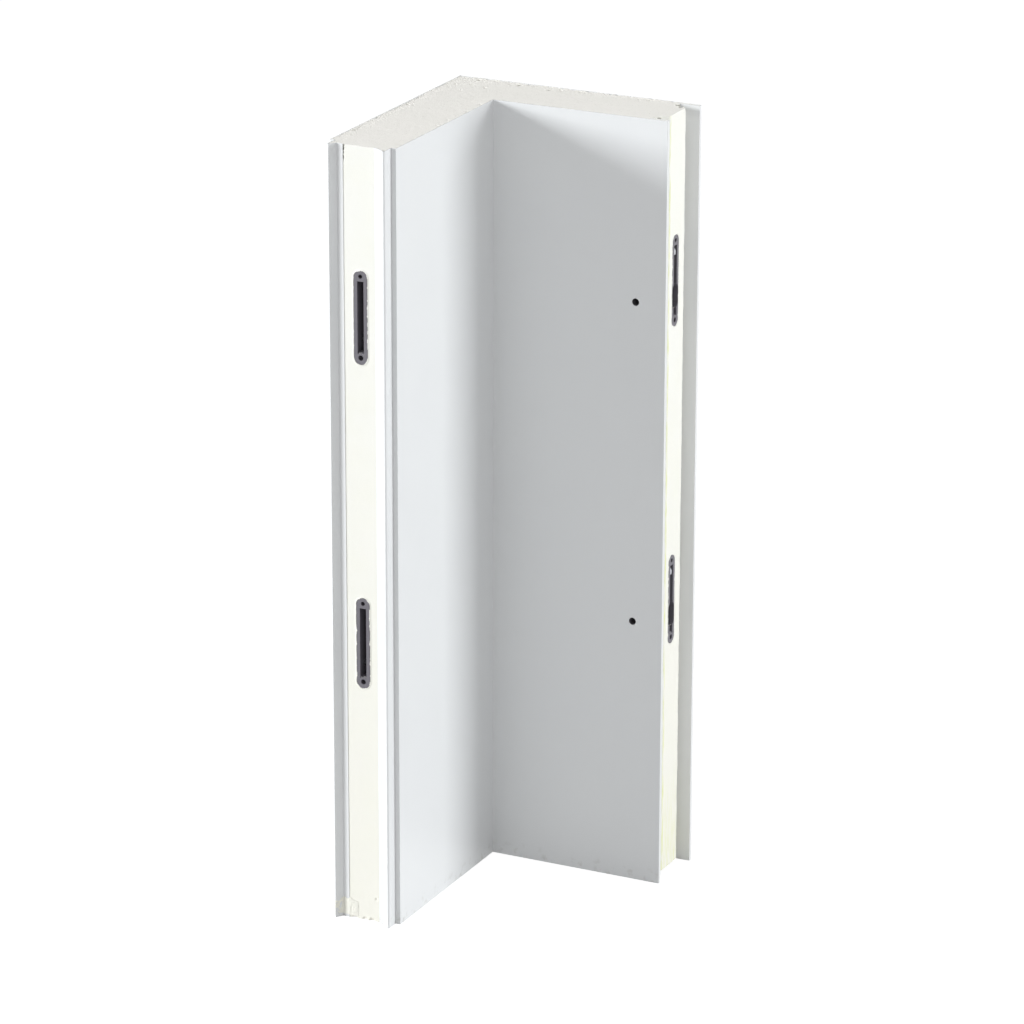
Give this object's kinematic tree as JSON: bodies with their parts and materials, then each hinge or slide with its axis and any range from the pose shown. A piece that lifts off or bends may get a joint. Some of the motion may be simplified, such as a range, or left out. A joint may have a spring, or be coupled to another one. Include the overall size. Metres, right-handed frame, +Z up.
{
  "type": "insulated corner sandwich panel",
  "caption": "Upright L-shaped insulated wall panel: painted steel skins on a foam core, one edge tongued, the other grooved, with cam-hook locks turned by a hex key.",
  "frame": {"origin": "middle of the bounding box at floor level", "axes": "+Z up along the panel, +X along the grooved leg, -Y along the tongued leg; the room's corner opens towards +X and -Y"},
  "size_m": [0.364, 0.407, 1.1],
  "materials": {
    "skin_paint": "white polyester coil coating, satin",
    "foam": "rigid polyurethane foam, moulded and saw-cut",
    "case_plastic": "moulded dark grey plastic",
    "tube_plastic": "extruded grey plastic",
    "pin_steel": "blackened steel, dull",
    "hook_steel": "bright zinc-plated"
  },
  "bodies": {
    "panel": {"outer_skin": "skin_paint", "inner_skin": "skin_paint", "foam_core": "foam", "hook_case_lower_inner": "case_plastic", "hook_case_lower_outer": "case_plastic", "receiver_case_lower_inner": "case_plastic", "receiver_case_lower_outer": "case_plastic", "cross_pin_lower": "pin_steel", "key_tube_lower": "tube_plastic", "hook_case_upper_inner": "case_plastic", "hook_case_upper_outer": "case_plastic", "receiver_case_upper_inner": "case_plastic", "receiver_case_upper_outer": "case_plastic", "cross_pin_upper": "pin_steel", "key_tube_upper": "tube_plastic"},
    "hook_lower": {"cam_hook_lower": "hook_steel"},
    "hook_upper": {"cam_hook_upper": "hook_steel"}
  },
  "joints": [
    {"name": "hook_lower_turn", "type": "hinge", "parent": "panel", "child": "hook_lower", "pos_m": [0.1325, 0.1535, 0.384], "axis": [0, 1, 0], "range_deg": [0, 90]},
    {"name": "hook_upper_turn", "type": "hinge", "parent": "panel", "child": "hook_upper", "pos_m": [0.1325, 0.1535, 0.843], "axis": [0, 1, 0], "range_deg": [0, 90]}
  ]
}
